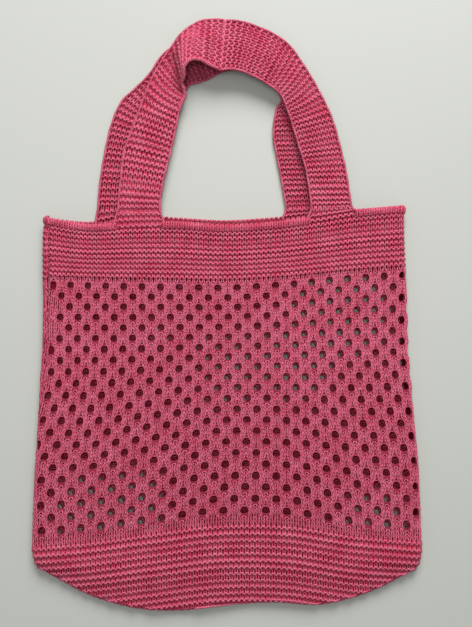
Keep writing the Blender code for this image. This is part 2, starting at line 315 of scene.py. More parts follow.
def makeGuide(name, stitches, courses, points, inside, up, relief=1.0):
    # A surface for yarn to lie on: UV counts stitches and courses, inside is cut at zero
    mesh = meshFromGrid(name, points)
    u, v = ((line - line[0]) / (line[-1] - line[0]) for line in (stitches, courses))
    uv = np.stack(np.meshgrid(u, v), -1).reshape(-1, 2)
    loops = np.zeros(len(mesh.loops), np.int32)
    mesh.loops.foreach_get("vertex_index", loops)
    layer = mesh.uv_layers.new(name="knitting")
    layer.data.foreach_set("uv", uv[loops].astype(np.float32).ravel())
    normal = np.cross(np.gradient(points, axis=1), np.gradient(points, axis=0))
    normal /= np.maximum(np.linalg.norm(normal, axis=-1, keepdims=True), 1e-9)
    if (np.median(normal[..., 2]) > 0) != up:
        normal = -normal
    outward = normal * np.broadcast_to(relief, points.shape[:2])[..., None]
    for key, kind, field, values in (("outward", "FLOAT_VECTOR", "vector", outward),
                                     ("inside", "FLOAT", "value", inside)):
        attribute = mesh.attributes.new(key, kind, "POINT")
        attribute.data.foreach_set(field, values.astype(np.float32).ravel())
    guide = newObject(name, mesh)
    guide["span"] = [float(line[end]) for line in (stitches, courses) for end in (0, -1)]
    return guide


def startTree(name, inputs):
    # A Geometry Nodes tree with its named inputs
    tree = bpy.data.node_groups.new(name, "GeometryNodeTree")
    tree.interface.new_socket("Geometry", in_out="INPUT", socket_type="NodeSocketGeometry")
    kinds = {int: "NodeSocketInt", float: "NodeSocketFloat", type(None): "NodeSocketMaterial"}
    for key, value in inputs.items():
        socket = tree.interface.new_socket(key, in_out="INPUT", socket_type=kinds[type(value)])
        if value is not None:
            socket.default_value = value
    tree.interface.new_socket("Geometry", in_out="OUTPUT", socket_type="NodeSocketGeometry")
    g = Graph(tree)
    g.node("NodeGroupInput")
    return tree, g, {key: g.out(key) for key in inputs}, g.out("Geometry")


knitInputs = {
    "First Stitch": 0, "Stitches": 10, "Courses": 10, "Points per Stitch": 8, "Sides": 3,
    "Stitch Width": stitchWidth, "Course Height": 2.4, "Loop Height": 2.1, "Sway": 0.4,
    "Depth": 0.9, "Ridge": 0.4, "Garter": 1.0, "Yarn Radius": 0.85, "Unevenness": 0.2, "Crowding": 0.18,
    "Loop Shift": 0.0, "Fine Near": 0.0, "Near Calm": 0.0, "Plain Calm": 0.0,
    "Eyelet Half Width": 0.0, "Eyelet Half Height": 0.0, "Eyelet Margin": 5.8, "Eyelet Calm": 0.0,
    "First Eyelet Course": 0.0, "Eyelet Rows": 22,
    "Stitch Low": 0.0, "Stitch High": 1.0, "Course Low": 0.0, "Course High": 1.0, "Seed": 1, "Yarn": None,
}
eyeletRepeat = (4.0, 6.0)   # stitches and courses between eyelets
knitNoise = ((0.37, 0.0, 0.9, 0.0), (0.41, 7.3, 0.8, 20.0))   # per stitch, start, per course, seed
# The last four values set the painted shade of the loops: raised loops get the lighter colour, sunken ones
# the darker, flatter loops lighter still
knitShape = {
    "noiseAcross": 0.25, "noiseDown": 0.35, "endStitches": 0.5, "calmPower": 3.0,
    "proudPaintedLight": 0.56, "proudSpan": 0.5, "garterSpan": 0.14, "calmPaintedLight": 0.2,
}


def buildKnitTree():
    # One yarn goes to and fro over the guide in loops; round each eyelet the loops make way
    tree, g, take, guide = startTree("knitCourses", knitInputs)
    uvMap = g.named("knitting", "FLOAT_VECTOR")
    repeatX, repeatY = eyeletRepeat
    firstEyelet = take["First Eyelet Course"]

    def guidePlace(stitch, row):
        u = (stitch - take["Stitch Low"]) / (take["Stitch High"] - take["Stitch Low"])
        v = (row - take["Course Low"]) / (take["Course High"] - take["Course Low"])
        return g.combine(u, v)

    def sample(place, value, kind="FLOAT"):
        g.node("GeometryNodeSampleUVSurface", {"data_type": kind},
               {"Mesh": guide, "Value": value, "Source UV Map": uvMap, "Sample UV": place})
        return g.out("Value"), g.out("Is Valid")

    perCourse = take["Stitches"] * take["Points per Stitch"] + 1.0
    index = g.node("GeometryNodeInputIndex")
    course = (index / perCourse + 1e-4).math("FLOOR")
    along = index - course * perCourse
    odd = course.math("FLOORED_MODULO", 2.0)
    along = along + odd * (perCourse - 1.0 - 2.0 * along)  # every other course comes back
    evenly = take["First Stitch"] + along / take["Points per Stitch"]
    counted = evenly - (evenly * (2 * math.tau)).math("SINE") * (take["Crowding"] / math.tau)
    theta = (counted + take["Loop Shift"]) * math.tau

    def uneven(perStitch, start, perRow, seed):
        place = g.combine(counted * perStitch + start, course * perRow, take["Seed"] + seed)
        return (g.noise(place, 1.0, 1.0) - 0.5) * take["Unevenness"]

    unevenAcross, unevenDown = (uneven(*noise) for noise in knitNoise)
    sway = take["Sway"] / take["Stitch Width"] * (theta * 2.0).math("SINE")
    stitch = counted + sway + unevenAcross * knitShape["noiseAcross"]
    # Where the yarn turns back at the end of a course its loops lie flat
    fromStart = evenly - take["First Stitch"]
    fromEnd = fromStart.math("MINIMUM", take["Stitches"] - fromStart)
    free = (fromEnd / knitShape["endStitches"]).math("MINIMUM", 1.0)
    rise = take["Loop Height"] / take["Course Height"] * (1.0 + unevenDown) * theta.math("COSINE") * free
    level = course + 0.5 + unevenDown * knitShape["noiseDown"]

    face = 2.0 * odd - 1.0  # the first course leans back, so that no row of loops stands alone
    plain = -take["Depth"] * (theta * 2.0).math("COSINE")
    garter = -face * (take["Depth"] * (theta * 3.0).math("COSINE") + take["Ridge"] * theta.math("COSINE"))
    depth = (plain + take["Garter"] * (garter - plain)) * free

    # Eyelets are a staggered lattice. Loops lie flatter near one and then make way for it.
    wide = take["Stitch Width"] * repeatX
    high = take["Course Height"] * repeatY

    def nearestEyelet(stitch, row):
        latticeX, latticeY = stitch / repeatX, (row - firstEyelet) / repeatY
        evenX, evenY = latticeX.math("ROUND"), latticeY.math("ROUND")
        oddX, oddY = latticeX.math("FLOOR") + 0.5, latticeY.math("FLOOR") + 0.5

        def squared(centreX, centreY):
            offX, offY = (latticeX - centreX) * wide, (latticeY - centreY) * high
            return offX.math("POWER", 2.0) + offY.math("POWER", 2.0)

        useOdd = squared(oddX, oddY).math("LESS_THAN", squared(evenX, evenY))
        centreX = evenX + useOdd * (oddX - evenX)
        centreY = evenY + useOdd * (oddY - evenY)
        offX, offY = (latticeX - centreX) * wide, (latticeY - centreY) * high
        absX, absY = offX.math("ABSOLUTE"), offY.math("ABSOLUTE")
        slanted = (wide * absX + high * absY) / ((wide * wide + high * high) / 4.0)
        near = 1.0 - (absX * 2.0 / wide).math("MAXIMUM", absY * 2.0 / high).math("MAXIMUM", slanted)
        eyeletRow = centreY * 2.0
        real = eyeletRow.math("GREATER_THAN", -0.5) * eyeletRow.math("LESS_THAN", take["Eyelet Rows"] - 0.5)
        place = guidePlace(centreX * repeatX, firstEyelet + centreY * repeatY)
        fromEdge, found = sample(place, g.named("inside"))
        real = real * found * fromEdge.math("GREATER_THAN", take["Eyelet Margin"])
        return centreX, centreY, offX, offY, real, real * near.math("MAXIMUM", 0.0)

    near = nearestEyelet(stitch, level)[-1]
    row = level + rise * (1.0 - near.math("POWER", knitShape["calmPower"]) * take["Eyelet Calm"])
    centreX, centreY, offX, offY, real, near = nearestEyelet(stitch, row)
    ring = ((offX / (take["Eyelet Half Width"] + 1e-4)).math("POWER", 2.0)
            + (offY / (take["Eyelet Half Height"] + 1e-4)).math("POWER", 2.0)).math("SQRT")
    spread = 1.0 + near / ring.math("MAXIMUM", 0.02)
    stitch = (centreX + (stitch / repeatX - centreX) * spread) * repeatX
    row = firstEyelet + (centreY + ((row - firstEyelet) / repeatY - centreY) * spread) * repeatY

    calm = take["Near Calm"] * near + take["Plain Calm"] * (1.0 - real)
    depth = depth * (1.0 - calm)
    place = guidePlace(stitch, row)
    surface, valid = sample(place, g.node("GeometryNodeInputPosition"), "FLOAT_VECTOR")
    outward, _ = sample(place, g.named("outward", "FLOAT_VECTOR"), "FLOAT_VECTOR")
    inside, _ = sample(place, g.named("inside"))
    points = g.points(take["Courses"] * perCourse, g.vector("ADD", surface, g.scaled(outward, depth * mm)))
    # Painted shade: the deeper a loop lies, the more of the darker colour it gets; calmer loops near the
    # eyelets and in the plain rows are painted lighter
    span = knitShape["proudSpan"] - take["Garter"] * knitShape["garterSpan"]
    shade = depth / (take["Depth"] + take["Ridge"]) * span
    points = g.store(points, "proudPaintedLight", shade + knitShape["proudPaintedLight"] + calm * knitShape["calmPaintedLight"])
    between = along.math("FLOORED_MODULO", 2.0) * near.math("LESS_THAN", take["Fine Near"])
    outside = (1.0 - valid * inside.math("GREATER_THAN", 0.0)).math("MAXIMUM", between)
    points = g.store(points, "drop", outside)
    points = g.node("GeometryNodeDeleteGeometry", {"domain": "POINT"},
                    {"Geometry": points, "Selection": g.named("drop").math("GREATER_THAN", 0.5)})
    finishYarn(g, g.node("GeometryNodePointsToCurves", inputs={0: points, "Weight": index}), take)
    return tree


def finishYarn(g, curves, take):
    # The tube remembers its own middle line, so that the plies can turn round it
    curves = g.store(curves, "alongYarn", g.node("GeometryNodeSplineParameter", output="Length") / mm)
    normal, tangent = g.node("GeometryNodeInputNormal"), g.node("GeometryNodeInputTangent")
    for name, value in (("yarnMiddle", g.node("GeometryNodeInputPosition")), ("yarnNormal", normal),
                        ("yarnBeside", g.vector("CROSS_PRODUCT", tangent, normal))):
        curves = g.store(curves, name, value, "FLOAT_VECTOR")
    profile = g.node("GeometryNodeCurvePrimitiveCircle", {"mode": "RADIUS"},
                     {"Resolution": take["Sides"], "Radius": take["Yarn Radius"] * mm})
    tube = g.node("GeometryNodeCurveToMesh", inputs={
        "Curve": curves, "Profile Curve": profile, "Fill Caps": True})
    tube = g.node("GeometryNodeSetShadeSmooth", inputs={"Geometry": tube, "Shade Smooth": True})
    tube = g.node("GeometryNodeRealizeInstances", inputs={"Geometry": tube})
    tube = g.node("GeometryNodeSetMaterial", inputs={"Geometry": tube, "Material": take["Yarn"]})
    g.node("NodeGroupOutput", inputs={"Geometry": tube})


cordInputs = {
    "Strands": 2, "Turns": 10.0, "Points": 60, "Sides": 3, "Radius Across": 1.0, "Radius Up": 1.0,
    "Yarn Radius": 0.9, "Yarn": None,
}
cordPaintedLight = (0.7, 0.3)   # middle and span of painted light: a strand is lighter where it winds over the top


def buildCordTree():
    # Strands wound round a path, for bound edges and sewn seams
    tree, g, take, path = startTree("woundEdge", cordInputs)
    path = g.node("GeometryNodeMeshToCurve", inputs={0: path})
    index = g.node("GeometryNodeInputIndex")
    strand = (index / take["Points"] + 1e-4).math("FLOOR")
    share = (index - strand * take["Points"]) / (take["Points"] - 1.0)
    g.node("GeometryNodeSampleCurve", {"mode": "FACTOR"}, {"Curves": path, "Factor": share})
    position, tangent = g.out("Position"), g.out("Tangent")
    across = g.vector("NORMALIZE", g.vector("CROSS_PRODUCT", tangent, g.combine(z=1.0)))
    phase = (share * take["Turns"] + strand / take["Strands"]) * math.tau
    sideways = g.scaled(across, phase.math("COSINE") * take["Radius Across"] * mm)
    upwards = g.combine(z=phase.math("SINE") * take["Radius Up"] * mm)
    moved = g.vector("ADD", g.vector("ADD", position, sideways), upwards)
    points = g.points(take["Strands"] * take["Points"], moved)
    # Painted highlight on the strands where they wind over the top
    points = g.store(points, "proudPaintedLight", phase.math("SINE") * cordPaintedLight[1] + cordPaintedLight[0])
    finishYarn(g, g.node("GeometryNodePointsToCurves", inputs={
        0: points, "Curve Group ID": strand, "Weight": index}), take)
    return tree


def plainMesh(thing):
    # What an object's modifiers make of its mesh; the modifiers come off
    bpy.context.view_layer.update()
    graph = bpy.context.evaluated_depsgraph_get()
    mesh = bpy.data.meshes.new_from_object(thing.evaluated_get(graph), depsgraph=graph)
    thing.modifiers.clear()
    return mesh


def runTree(tree, host, values, name):
    modifier = host.modifiers.new("yarn", "NODES")
    modifier.node_group = tree
    sockets = {item.name: item.identifier for item in tree.interface.items_tree
               if item.item_type == "SOCKET" and item.in_out == "INPUT"}
    for key, value in values.items():
        modifier[sockets[key]] = value
    mesh = plainMesh(host)
    if "drop" in mesh.attributes:
        mesh.attributes.remove(mesh.attributes["drop"])
    mesh.name = name
    guide = host.data
    bpy.data.objects.remove(host)
    bpy.data.meshes.remove(guide)
    return newObject(name, mesh)


def newMaterial(name):
    material = bpy.data.materials.new(name)
    material.use_nodes = True
    material.node_tree.nodes.clear()
    g = Graph(material.node_tree)
    return material, g, g.node("ShaderNodeTexCoord", output="Object")


def makeYarnMaterial(name, look):
    material, g, place = newMaterial(name)

    def attribute(kind, output="Fac"):
        settings = {"attribute_type": "GEOMETRY", "attribute_name": kind}
        return g.node("ShaderNodeAttribute", settings, output=output)

    # Plies wind round the middle line of the yarn
    offset = g.vector("SUBTRACT", place, attribute("yarnMiddle", "Vector"))
    beside, above = (g.vector("DOT_PRODUCT", offset, attribute(kind, "Vector"), output="Value")
                     for kind in ("yarnBeside", "yarnNormal"))
    winding = attribute("alongYarn") * (math.tau / look["plyPitch"])
    ply = (beside.math("ARCTAN2", above) * look["plies"] + winding * look["plies"]).math("SINE") * 0.5 + 0.5
    fine, broad = (g.noise(place, look[kind], 2.0) for kind in ("fibreScale", "broadScale"))
    # Painted shade: sunken loops get more of the darker colour and raised ones more of the lighter; the fibre
    # and broad noise add random tone
    share = (look["base"] + look["proudPaintedLight"] * attribute("proudPaintedLight") + look["ply"] * (ply - 0.5)
             + look["fibre"] * (fine - 0.5) + look["broad"] * (broad - 0.5))
    relief = ply.math("POWER", look["plyRound"]) + fine * look["fibreRelief"]
    bump = g.node("ShaderNodeBump", inputs={
        "Strength": look["bump"], "Distance": look["bumpDepth"], "Height": relief})
    g.surface({"Base Color": g.mix(share, look["deepToneAndShade"], look["light"]), "Roughness": look["roughness"],
               "Normal": bump, "Specular IOR Level": look["specular"], "Sheen Weight": look["sheen"],
               "Sheen Roughness": look["sheenRoughness"], "Sheen Tint": look["sheenTint"]})
    return material


# One dye for all the yarn; the darker colour is both its darker random tone and painted shade on sunken loops
yarnLook = {
    "light": (0.61, 0.158, 0.248, 1.0), "deepToneAndShade": (0.4, 0.004, 0.034, 1.0),
    "base": -0.04, "proudPaintedLight": 0.86, "ply": 0.5, "fibre": 1.9, "broad": 0.7,
    "plies": 3.0, "plyPitch": 4.5, "plyRound": 0.6, "fibreScale": 1100.0, "fibreRelief": 0.5,
    "broadScale": 60.0, "bump": 0.5, "bumpDepth": 0.0003, "roughness": 0.9, "specular": 0.05,
    "sheen": 0.03, "sheenRoughness": 0.5, "sheenTint": (1.0, 0.5, 0.62, 1.0),
}
# Darker copies of the yarn's colour for the sheets under the yarn: painted shade in the gaps between the
# loops and, on the back, through the holes
insideShadeLook = dict(yarnLook, light=(0.42, 0.06, 0.11, 1.0), deepToneAndShade=(0.11, 0.003, 0.012, 1.0), sheen=0.0,
                  base=0.0, proudPaintedLight=1.0, ply=0.0, fibre=0.3, broad=0.0)
backShadeLook = dict(yarnLook, light=(0.34, 0.012, 0.034, 1.0), deepToneAndShade=(0.21, 0.006, 0.018, 1.0), sheen=0.0)
pinkYarn = makeYarnMaterial("pinkCottonYarn", yarnLook)
pinkShadeCore = makeYarnMaterial("pinkCottonPaintedShade", insideShadeLook)
pinkShadeBackCore = makeYarnMaterial("pinkCottonBackPaintedShade", backShadeLook)
knitTree = buildKnitTree()
cordTree = buildCordTree()
print("yarn trees and materials ready")


panel = {
    "stitchLow": -48, "stitchHigh": 54,   # the guides reach past the cloth on both sides
    "firstStitch": -44, "stitches": 94,
    "rimDrop": 6.6,          # height of the rolled edge
    "netStart": -0.752, "netEnd": 22.248,  # in rows of eyelets, the first lies between two courses
    "bandWidthRow": 0.0, "bottomWidthRow": 21.5,
    "topCourses": 20, "topCourseHeight": 2.3,
    "bottomCourses": 28, "bottomCourseHeight": 3.34, "bottomOverlap": 1.6,
    "coursesPerEyeletRow": 3, "netCourseHeight": 3.5,
    "edgeMargin": 1.9, "foldCalm": 0.45, "foldCalmOver": 4.0, "fineNear": 0.68, "fineNearBack": 0.8,
    "frontPoints": (16, 8), "backPoints": (12, 6),   # to a stitch, in the net and in the bands
}
garterLook = {"Garter": 1.0, "Depth": 0.25, "Ridge": 1.0, "Loop Height": 2.1, "Sway": 0.3,
              "Yarn Radius": 1.05, "Unevenness": 0.22}
bottomLook = dict(garterLook, **{"Loop Height": 2.7, "Yarn Radius": 1.2})
netLook = {"Garter": 0.0, "Depth": 0.95, "Ridge": 0.0, "Loop Height": 2.7, "Sway": 0.1,
           "Yarn Radius": 0.82, "Unevenness": 0.34, "Loop Shift": 0.5, "Crowding": 0.0,
           "Near Calm": 0.75, "Plain Calm": 0.5, "Eyelet Calm": 0.6, "Eyelet Margin": 3.3,
           "Eyelet Half Width": 4.1, "Eyelet Half Height": 4.0}

# Where the holes of the two layers lie over each other, so that the table shows through
openPatches = ((115, 5, 42, 1.0), (72, -45, 36, 0.9), (-60, -20, 24, 0.5), (8, -55, 48, 0.62),
               (-135, -192, 30, 1.0), (-95, -186, 30, 1.0), (150, -205, 27, 0.9))   # x, y, size, weight
backShift = {"across": (-2.0, -0.35), "down": (0.33, 0.16), "patchGain": 1.35}   # elsewhere, in a patch
netHeights = (11.1, 2.2)   # of the front net and the back net, as the camera sees them
cameraPlace = (9.0, 2.2, 806.0)


def backPlace(stitch, row):
    # The back panel's net: half a repeat to the side, except in the open patches
    x, y = netPlace(stitch, row)
    share = np.zeros_like(x)
    for patchX, patchY, size, weight in openPatches:
        share = np.maximum(share, weight * np.exp(-((x - patchX) ** 2 + (y - patchY) ** 2) / (2 * size ** 2)))
    share = smoothStep(share * backShift["patchGain"])
    across, down = (start + (end - start) * share for start, end in (backShift["across"], backShift["down"]))
    x, y = netPlace(stitch + across, row + down)
    grow = (cameraPlace[2] - netHeights[1]) / (cameraPlace[2] - netHeights[0])
    middleX, middleY = cameraPlace[0] - frameShift[0], cameraPlace[1] - frameShift[1]
    return middleX + (x - middleX) * grow, middleY + (y - middleY) * grow


def rimAbove(x, onFront):
    return lineHeight(rims[onFront], shareAcross(x, np.full_like(x, rimLevel)))


def bandPlace(part, stitch, course, onFront):
    # Flat place of a stitch in one part of a panel
    place = netPlace if onFront else backPlace
    if part == "net":
        return place(stitch, panel["netStart"] + course / panel["coursesPerEyeletRow"])
    widthRow, startRow = (np.full_like(stitch, panel[key]) for key in (
        ("bandWidthRow", "netStart") if part == "top" else ("bottomWidthRow", "netEnd")))
    x, startY = place(stitch, widthRow)[0], place(stitch, startRow)[1]
    if part == "top":
        rimY = rimAbove(x, onFront) - panel["rimDrop"]
        return x, rimY + (startY - rimY) * course / panel["topCourses"]
    return x, startY + panel["bottomOverlap"] - course * panel["bottomCourseHeight"]


def panelSides(y, onFront):
    # How far past the two fold lines a panel starts and ends
    seamPast = np.interp(y, *leftSeam)
    if onFront:
        return seamPast, cloth["foldArc"] + cloth["foldEnd"] + 0.0 * y
    return (cloth["foldArc"] - seamPast - cloth["backSeamGap"],
            -(cloth["foldEnd"] + cloth["seamGap"]) + 0.0 * y)


def lowerEdge(placed, y):
    return lineHeight(bottomEdge, shareAcross(placed[..., 0], y)) + panel["edgeMargin"]


def panelGuide(name, part, onFront, courses):
    stitches = np.arange(panel["stitchLow"], panel["stitchHigh"] + 1, 1.0)
    x, y = bandPlace(part, *np.meshgrid(stitches, courses), onFront)
    placed, pastLeft, pastRight = layPanel(x, y, onFront)
    start, end = panelSides(y, onFront)
    inside = np.minimum(np.minimum(start - pastLeft, end - pastRight), y - lowerEdge(placed, y))
    relief = 1 - panel["foldCalm"] * smoothStep(np.maximum(pastLeft, pastRight) / panel["foldCalmOver"])
    return makeGuide(name, stitches, courses, placed, inside, onFront, relief)


def knitPiece(name, guide, look, first, stitches, courses, courseHeight, perStitch, seed, courseStart=0):
    low, high, top, bottom = guide["span"]
    return runTree(knitTree, guide, dict(look, **{
        "First Stitch": first, "Stitches": stitches, "Courses": courses, "Points per Stitch": perStitch,
        "Course Height": courseHeight, "Seed": seed, "Yarn": pinkYarn, "Stitch Low": low, "Stitch High": high,
        "Course Low": top - courseStart, "Course High": bottom - courseStart}), name)


def makePanelYarn(side, onFront, netPoints, bandPoints):
    # The two bands, and the net in two pieces, each with its share of the rows
    perRow = panel["coursesPerEyeletRow"]
    total = round((panel["netEnd"] - panel["netStart"]) * perRow)
    half = total // 2 + 1
    pieces = []
    for tag, part, begin, count, look, points, seed in (
            ("TopBand", "top", 0, panel["topCourses"], garterLook, bandPoints, 1),
            ("UpperNet", "net", 0, half, netLook, netPoints, 2),
            ("LowerNet", "net", half, total - half, netLook, netPoints, 2 + half),
            ("BottomBand", "bottom", 0, panel["bottomCourses"], bottomLook, bandPoints, 5)):
        reach = 3   # the guide goes on past the yarn
        if part == "net":
            reach = 4
            look = dict(look, **{"First Eyelet Course": -panel["netStart"] * perRow - begin,
                                 "Fine Near": panel["fineNear" if onFront else "fineNearBack"]})
        courses = np.arange(begin - reach, begin + count + reach + 1, 1.0)
        guide = panelGuide(side + "Guide", part, onFront, courses)
        pieces.append(knitPiece(side + tag, guide, look, panel["firstStitch"], panel["stitches"], count,
                                panel[part + "CourseHeight"], points, seed, begin))
    return pieces


core = {
    "thickness": 0.4, "frontDepth": 1.3, "backDepth": -0.15, "edgeInset": 0.6, "rimInset": 3.0,
    # One of these values sets how much lighter the sheet is painted round the rims of its holes
    "holeHalfWidth": 4.0, "holeHalfHeight": 4.1, "holeMargin": 0.2, "holeRimPaintedLight": 0.45, "backHole": 0.78,
    "holeLip": (0.3, 1.7), "holeDrift": 0.4, "holeSeed": 31,   # how far cloth shows at the foot of a hole
    "holeCorners": 8, "foldStep": 3.0, "foldPoints": 6, "foldClear": 5, "edgeStep": 6.0, "step": 9.0,
    "low": -290, "high": 100, "edgeClear": 2.5, "holeClear": 6.5,
    "top": (85.0, 44), "bottom": (-252.0, 60),   # height of the corners, points along the edge
}


def makePanelCore(name, onFront):
    # The cloth under the yarn, a sheet with the real holes, cut flat and then laid round the folds. Its dark
    # colour is painted shade in the gaps between the loops and through the holes.
    placeIn = netPlace if onFront else backPlace

    def sideX(y):
        left, right = outerSides(y)
        left = left + layerRise(left, y, onFront) / 2 + cloth["foldInset"]
        right = right - layerRise(right, y, onFront) / 2 - cloth["foldInset"]
        start, end = panelSides(y, onFront)
        return left - start + core["edgeInset"], right + end - core["edgeInset"], left, right

    def bottomY(x):
        y = np.full_like(x, lowLevel)
        for _ in range(3):
            y = lowerEdge(layPanel(x, y, onFront)[0], y) + core["edgeInset"]
        return y

    def topY(x):
        return rimAbove(x, onFront) - core["rimInset"]

    def isInside(x, y, margin):
        start, end, _, _ = sideX(y)
        return ((x > start + margin) & (x < end - margin)
                & (y > bottomY(x) + margin) & (y < topY(x) - margin))

    lines = []
    for (y, count), lineY in ((core["top"], topY), (core["bottom"], bottomY)):
        x = np.linspace(*(float(v) for v in sideX(np.array(y))[:2]), count)
        lines.append(np.stack([x, lineY(x)], -1))
    topLine, lowLine = lines
    leftY, rightY = (np.arange(topLine[end, 1] - core["edgeStep"], lowLine[end, 1] + 4, -core["edgeStep"])
                     for end in (0, -1))
    points = [np.concatenate([topLine, np.stack([sideX(rightY)[1], rightY], -1), lowLine[::-1],
                              np.stack([sideX(leftY)[0], leftY], -1)[::-1]])]
    count = len(points[0])
    rings = [np.arange(count)]
    turn = np.arange(core["holeCorners"]) * math.tau / core["holeCorners"]
    centres = []
    chance = np.random.default_rng(core["holeSeed"])
    share = 1.0 if onFront else core["backHole"]
    stitches, rows = np.meshgrid(np.arange(panel["stitchLow"], panel["stitchHigh"], 2.0),
                                 np.arange(netRows[0], netRows[1] + 1, 1.0))
    staggered = (stitches + 2 * rows) % 4 == 0
    for stitch, row in zip(stitches[staggered], rows[staggered]):
        lip, drift = chance.uniform(*core["holeLip"]), chance.uniform(-core["holeDrift"], core["holeDrift"])
        if not onFront:
            lip = drift = 0.0
        across = share * core["holeHalfWidth"] * np.cos(turn) + drift
        down = share * core["holeHalfHeight"] * np.sin(turn) - lip * np.maximum(np.sin(turn), 0.0)
        ringX, ringY = placeIn(stitch + across / stitchWidth, row + down / eyeletRowHeight)
        start, end, _, _ = sideX(ringY)
        if np.all(ringX > start + core["holeMargin"]) and np.all(ringX < end - core["holeMargin"]):
            points.append(np.stack([ringX, ringY], -1))
            rings.append(count + np.arange(len(turn)))
            count += len(turn)
            centres.append((ringX.mean(), ringY.mean()))

    # Points between the holes, closer together where the cloth goes round a fold
    bandY = np.arange(core["low"], core["high"], core["step"])
    folds = np.arange(core["foldPoints"]) * core["foldStep"]
    extra = []
    for y, _, _, left, right in zip(bandY, *sideX(bandY)):
        columns = np.arange(left + core["foldClear"], right - core["foldClear"], core["step"])
        columns = np.concatenate([columns, left - folds, right + folds])
        extra.append(np.stack([columns, np.full(len(columns), y)], -1))
    extra = np.concatenate(extra)
    clear = np.min(np.hypot(*(extra[:, None] - np.array(centres)[None]).transpose(2, 0, 1)), axis=1)
    points.append(extra[isInside(extra[:, 0], extra[:, 1], core["edgeClear"]) & (clear > core["holeClear"])])
    points = np.concatenate(points)
    ringOf = np.full(len(points), -1)
    borders = []
    for number, ring in enumerate(rings):
        ringOf[ring] = number
        borders += list(zip(ring.tolist(), np.roll(ring, -1).tolist()))
    verts, _, faces, origin, _, _ = delaunay_2d_cdt(
        [Vector(p) for p in points.tolist()], borders, [], 0, 1e-5, True)
    flat = np.array([(v.x, v.y) for v in verts])
    source = np.array([ids[0] if ids else -1 for ids in origin])
    faces = np.array(faces)
    owners = ringOf[source[faces]]
    inHole = (owners[:, 0] > 0) & (owners[:, 0] == owners[:, 1]) & (owners[:, 1] == owners[:, 2])
    middle = flat[faces].mean(1)
    kept = faces[~inHole & isInside(middle[:, 0], middle[:, 1], -0.05)].tolist()
    mesh = newMesh(name, layPanel(flat[:, 0], flat[:, 1], onFront)[0], [], kept)
    # Painted light: the dark sheet is painted lighter round the rims of its holes
    paintedRimLight = mesh.attributes.new("proudPaintedLight", "FLOAT", "POINT")
    paintedRimLight.data.foreach_set("value", (ringOf[source] > 0).astype(np.float32) * core["holeRimPaintedLight"])
    # The sheet is painted dark, as shade between the loops
    return finishCore(name, mesh, onFront, core["thickness"], core["frontDepth" if onFront else "backDepth"],
                      pinkShadeCore if onFront else pinkShadeBackCore)


def finishCore(name, mesh, upwards, thickness, depth, material):
    # Turns the whole sheet one way, sinks it under the yarn and gives it its thickness
    bm = bmesh.new()
    bm.from_mesh(mesh)
    bmesh.ops.delete(bm, geom=[v for v in bm.verts if not v.link_faces], context="VERTS")
    bmesh.ops.recalc_face_normals(bm, faces=bm.faces)
    bmesh.ops.remove_doubles(bm, verts=bm.verts, dist=1e-5)
    if (sum(face.normal.z * face.calc_area() for face in bm.faces) > 0) != upwards:
        bmesh.ops.reverse_faces(bm, faces=bm.faces)
    bm.normal_update()
    for vert in bm.verts:
        vert.co -= vert.normal * (depth * mm)
    bm.to_mesh(mesh)
    bm.free()
    mesh.materials.append(material)
    piece = newObject(name, mesh)
    solid = piece.modifiers.new("clothThickness", "SOLIDIFY")
    solid.thickness = thickness * mm
    solid.offset = 0.0
    piece.data = plainMesh(piece)
    bpy.data.meshes.remove(mesh)
    piece.data.name = name
    return piece


strap = {
    "stitches": 9, "perStitch": 8, "perStitchBack": 6, "guideStep": 0.25, "loopShare": 0.86, "yarnShare": 0.4,
    "coreStart": 2.0, "coreEnd": 0.4, "coreStep": 3.0, "coreInset": 0.02,
    "coreThickness": 0.5, "coreDepth": 1.2, "backLift": 0.4,
    "selvedgeCord": (0.65, 0.65, 0.85, 4.6), "selvedgeLift": 0.9, "selvedgeIn": 0.3, "selvedgeEnd": 0.3,
    "selvedgeStep": 3.0,
}
strapHalves = {
    "frontStrapLeft": {"node": "front_strap_left", "onFront": True, "sections": frontLeftSections,
                       "outerX": -112.0, "innerX": -62.5, "ridge": 6.3, "lip": (203.0, 256.0),
                       "skew": ((0, 22, 49, 78, 101, 122, 143, 156, 168),
                                (0, 0, 3.4, 8.5, 17, 21, 17, 3, 0))},
    "frontStrapRight": {"node": "front_strap_right", "onFront": True, "sections": frontRightSections,
                        "outerX": 129.0, "innerX": 79.5, "ridge": 5.35,
                        "skew": ((0, 40, 80, 130, 160, 190), (0, 1, 8, 13, 8, 0))},
    "backStrapLeft": {"node": "back_strap_left", "onFront": False, "sections": backLeftSections,
                      "outerX": -132.0, "innerX": -84.0, "ridge": 5.5, "skew": ((0, 1), (0, 0))},
    "backStrapRight": {"node": "back_strap_right", "onFront": False, "sections": backRightSections,
                       "outerX": 103.0, "innerX": 56.0, "ridge": 5.0,
                       "skew": ((0, 50, 100, 140), (0, 2, 4, 0))},
}


def sectionLine(section, share, lift):
    # From the outer to the inner edge of a strap
    outer, inner = np.array(section[:3]), np.array(section[3:6])
    line = outer + (inner - outer) * share[:, None]
    line[:, 2] = line[:, 2] + section[6] * np.sin(math.pi * share) + lift
    return line


